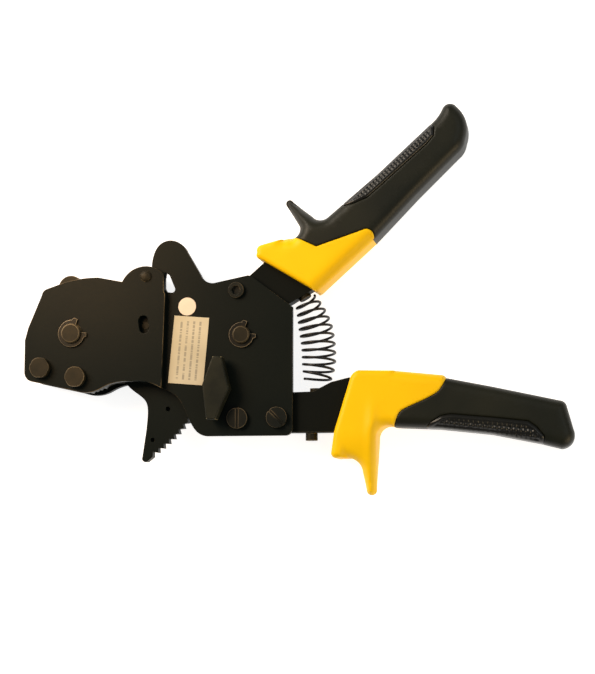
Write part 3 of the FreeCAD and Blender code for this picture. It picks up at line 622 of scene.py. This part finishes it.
def moulded(name, outline, neighbour, values, within=None, without=None):
    step = values["step"]
    loop, other = traced(outline, step), traced(neighbour, step)
    limits = [loop] + [traced(item, step) for item in (within, without) if item]
    shell = loop if within is None else limits[1]
    shellStarts, shellEnds = shell, np.roll(shell, -1, 0)
    openRim = gapTo((shellStarts + shellEnds) / 2, other, np.roll(other, -1, 0)) > sheet["shared"]
    crisp = np.zeros(len(shell), bool)
    if "crisp" in values:
        first, last = (int(np.argmin(np.hypot(*(shell - np.array(p)).T))) for p in values["crisp"])
        if first <= last:
            crisp[first:last] = True
        else:
            crisp[first:] = crisp[:last] = True
    low, high = loop.min(0), loop.max(0)
    grid = np.stack(np.meshgrid(*(np.arange(low[n] + step / 2, high[n], values["grid"]) for n in (0, 1))), -1)
    grid = grid.reshape(-1, 2)
    grid[:, 0] += values["grid"] * 0.5 * (np.round((grid[:, 1] - low[1]) / values["grid"]) % 2)
    rings = []
    for limit in limits:
        side = np.roll(limit, -1, 0) - np.roll(limit, 1, 0)
        side = np.stack((side[:, 1], -side[:, 0]), 1) / np.maximum(np.hypot(*side.T), 1e-9)[:, None]
        rings += [(depth, limit + sign * depth * side) for depth in values["rings"] for sign in (-1, 1)]
    edgeStarts = np.vstack(limits)
    edgeEnds = np.vstack([np.roll(limit, -1, 0) for limit in limits])

    def keeps(points):
        kept = isInside(points, loop)
        if within:
            kept &= isInside(points, limits[1])
        if without:
            kept &= ~isInside(points, limits[-1])
        return kept

    clear = values["rings"][-1] + sheet["gridShare"] * values["grid"]
    spots = [grid[keeps(grid) & (gapTo(grid, edgeStarts, edgeEnds) > clear)]]
    for depth, ring in rings:
        spots.append(ring[keeps(ring) & (gapTo(ring, edgeStarts, edgeEnds) > sheet["ringShare"] * depth)])
    fixed, edges, count = [], [], 0
    for limit in limits:
        fixed.append(limit)
        edges += [(count + n, count + (n + 1) % len(limit)) for n in range(len(limit))]
        count += len(limit)
    every = [Vector(map(float, point)) for point in np.vstack(fixed + spots)]
    corners, _, faces, *_ = delaunay_2d_cdt(every, edges, [], 0, sheet["merge"])
    flat = np.array([tuple(corner) for corner in corners])
    faces = np.array(faces)
    faces = faces[keeps(flat[faces].mean(1))]
    used, faces = np.unique(faces, return_inverse=True)
    flat, faces = flat[used], faces.reshape(-1, 3)

    half = np.full(len(flat), float(values["half"]))
    for tip, base, tipHalf, reach in values.get("horns", []):
        along, aside = runOf(flat, base, tip)
        part = easedStep(along, -0.1, 1.0) * (1 - easedStep(aside, reach * 0.7, reach))
        half = half * (1 - part) + tipHalf * part
    drop = np.zeros(len(flat))
    for chosen, radius in ((openRim & ~crisp, values["round"]), (openRim & crisp, values.get("crispRound"))):
        if chosen.any():
            drop = np.maximum(drop, bulge(gapTo(flat, shellStarts[chosen], shellEnds[chosen]), radius))
    seams = ([limits[-1]] if without else []) + ([loop] if within else [])
    seamStarts = np.vstack([shellStarts[~openRim]] + seams)
    seamEnds = np.vstack([shellEnds[~openRim]] + [np.roll(edge, -1, 0) for edge in seams])
    seam = gapTo(flat, seamStarts, seamEnds)
    height = half - np.minimum(drop, half * sheet["thickest"]) - bulge(seam, values["seam"])
    for start, end, rise, width in values.get("ridges", []):
        along, aside = runOf(flat, start, end)
        fade = easedStep(along, -0.05, 0.1) * (1 - easedStep(along, 0.7, 1.1))
        height += rise * np.exp(-(aside / width) ** 2) * fade
    if "knurl" in values:
        knurl = values["knurl"]
        turn = math.radians(knurl["turn"])
        along = flat @ np.array((math.cos(turn), math.sin(turn))) / knurl["pitch"]
        across = flat @ np.array((-math.sin(turn), math.cos(turn))) / knurl["pitch"]
        studs = np.abs(np.sin(math.pi * along) * np.sin(math.pi * across)) ** 0.6
        fromEdge = np.minimum(seam, gapTo(flat, shellStarts, shellEnds) + knurl["edge"])
        inner = easedStep(fromEdge, knurl["rim"], knurl["rim"] + 0.5)
        height += inner * (knurl["height"] * studs - knurl["sunk"]) + values["proud"]
        bead, beadWidth, rise = values["bead"]
        height += rise * np.exp(-((seam - bead) / beadWidth) ** 2)

    total = len(flat)
    points = [atPivot(p, h) for p, h in zip(flat, height)] + [atPivot(p, -h) for p, h in zip(flat, height)]
    built = [tuple(face) for face in faces] + [tuple(face[::-1] + total) for face in faces]
    seen = {}
    for face in faces:
        for a, b in zip(face, np.roll(face, -1)):
            key = (min(a, b), max(a, b))
            seen[key] = None if key in seen else (a, b)
    built += [(b, a, a + total, b + total) for a, b in filter(None, seen.values())]
    whole = [tuple(map(int, face)) for face in built]
    return meshPiece(name, points, whole, values.get("sharp", sheet["sharp"]))


guardUpper = {"half": 11.7, "round": 6.5, "crispRound": 2.6, "seam": 0.9, "step": 0.8, "grid": 2.0,
              "rings": (0.08, 0.3, 0.7, 1.3, 2.1, 3.1, 4.3, 5.6), "crisp": ((38.6, 20.9), (21.4, 47.6))}
guardLower = {"half": 11.7, "round": 5.0, "crispRound": 2.6, "seam": 0.9, "step": 0.8, "grid": 2.0,
              "rings": (0.08, 0.3, 0.7, 1.3, 2.1, 3.1, 4.3, 5.6), "crisp": ((53.4, -61.5), (77.1, -19.2)),
              "horns": [((64.2, -80.5), (61.8, -52.0), 4.4, 13.0)],
              "ridges": [((64.6, -79.0), (66.0, -34.0), 1.5, 2.3)]}
gripUpper = {"half": 11.2, "round": 5.6, "seam": 0.8, "step": 0.8, "grid": 2.2,
             "rings": (0.08, 0.3, 0.7, 1.3, 2.1, 3.1, 4.3, 5.4),
             "horns": [((21.4, 69.6), (34.4, 52.0), 3.0, 13.0)]}
gripLower = {"half": 11.2, "round": 5.0, "seam": 0.8, "step": 0.8, "grid": 2.2,
             "rings": (0.08, 0.3, 0.7, 1.3, 2.1, 3.1, 4.3)}
panelUpper = {"half": 11.2, "round": 5.6, "seam": 0.9, "proud": 0.30, "step": 0.5, "grid": 0.44,
              "rings": (0.1, 0.35, 0.75, 1.2), "sharp": 60, "bead": (1.3, 0.4, 0.25),
              "knurl": {"turn": 42.0, "pitch": 2.0, "height": 0.65, "sunk": 0.55, "rim": 1.5, "edge": 0.9}}
panelLower = {"half": 11.2, "round": 5.0, "seam": 1.0, "proud": 0.35, "step": 0.5, "grid": 0.44,
              "rings": (0.1, 0.35, 0.75, 1.2, 1.7), "sharp": 60, "bead": (1.5, 0.45, 0.5),
              "knurl": {"turn": -6.5, "pitch": 2.3, "height": 0.8, "sunk": 0.7, "rim": 1.9, "edge": 1.3}}


def makeHandles(materials):
    for side, body, guard, grip, panel, looks in (
            ("upper", "upper_handle", upperGuard, upperGrip, upperPanel, (guardUpper, gripUpper, panelUpper)),
            ("lower", "frame", lowerGuard, lowerGrip, lowerPanel, (guardLower, gripLower, panelLower))):
        dress(moulded(side + "GuardMoulding", guard, grip, looks[0]), materials["yellow_plastic"],
              "yellow_plastic", body, side + "_guard")
        dress(moulded(side + "GripMoulding", grip, guard, looks[1], without=panel), materials["black_rubber"],
              "black_rubber", body, side + "_grip")
        dress(moulded(side + "GripPanel", panel, guard, looks[2], within=grip),
              materials["black_rubber_panel"], "black_rubber_panel", body, side + "_grip_insert")
        print("handle moulded:", side)


# ---- return spring ----
coil = {"turns": 10.5, "steps": 32, "radius": 8.1, "wire": 1.3, "sides": 12, "spacing": 0.25, "sharp": 50,
        "path": ((31.1, 17.7), (37.4, -3.0), (36.9, -22.9))}


def makeSpring(materials):
    axis = [coil["path"][0]] + arcThrough(*coil["path"], coil["spacing"])
    lengths = np.concatenate([[0], np.cumsum([math.dist(a, b) for a, b in zip(axis, axis[1:])])])
    axis = np.array(axis)
    count = int(coil["turns"] * coil["steps"])
    centres = []
    for n in range(count + 1):
        share = n / count
        at = share * lengths[-1]
        here = np.array([np.interp(at, lengths, axis[:, 0]), np.interp(at, lengths, axis[:, 1])])
        ahead = np.array([np.interp(min(at + 0.5, lengths[-1]), lengths, axis[:, 0]),
                          np.interp(min(at + 0.5, lengths[-1]), lengths, axis[:, 1])])
        behind = np.array([np.interp(max(at - 0.5, 0), lengths, axis[:, 0]),
                           np.interp(max(at - 0.5, 0), lengths, axis[:, 1])])
        along = (ahead - behind) / np.hypot(*(ahead - behind))
        across = np.array((along[1], -along[0]))
        angle = math.pi + 2 * math.pi * n / coil["steps"]
        narrow = 0.36 * max(0.0, 1.0 - share / 0.4) ** 1.5 + 0.22 * max(0.0, (share - 0.7) / 0.3) ** 2
        reach = coil["radius"] * (1.0 - narrow)
        spot = here + across * reach * math.cos(angle)
        centres.append(atPivot(spot, reach * math.sin(angle)))
    rings, points, faces = coil["sides"], [], []
    for n, centre in enumerate(centres):
        along = (centres[min(n + 1, count)] - centres[max(n - 1, 0)]).normalized()
        hub = atPivot((np.interp(n / count * lengths[-1], lengths, axis[:, 0]),
                       np.interp(n / count * lengths[-1], lengths, axis[:, 1])))
        out = centre - hub
        out = (out - along * out.dot(along)).normalized()
        side = along.cross(out)
        for k in range(rings):
            turn = 2 * math.pi * k / rings
            points.append(centre + (out * math.cos(turn) + side * math.sin(turn)) * coil["wire"] / 2 * mm)
    for n in range(count):
        for k in range(rings):
            a, b = n * rings + k, n * rings + (k + 1) % rings
            faces.append((a, b, b + rings, a + rings))
    faces.append(tuple(range(rings))[::-1])
    faces.append(tuple(range(count * rings, (count + 1) * rings)))
    piece = meshPiece("springWireCoil", points, faces, coil["sharp"])
    piece.data.materials.append(materials["spring_steel"])
    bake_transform(piece)
    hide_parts("return_spring")
    print("spring made")


makeCamera()
makeStudio()
materials = makeMaterials()
easePieces(materials)
makeHandles(materials)
makeSpring(materials)
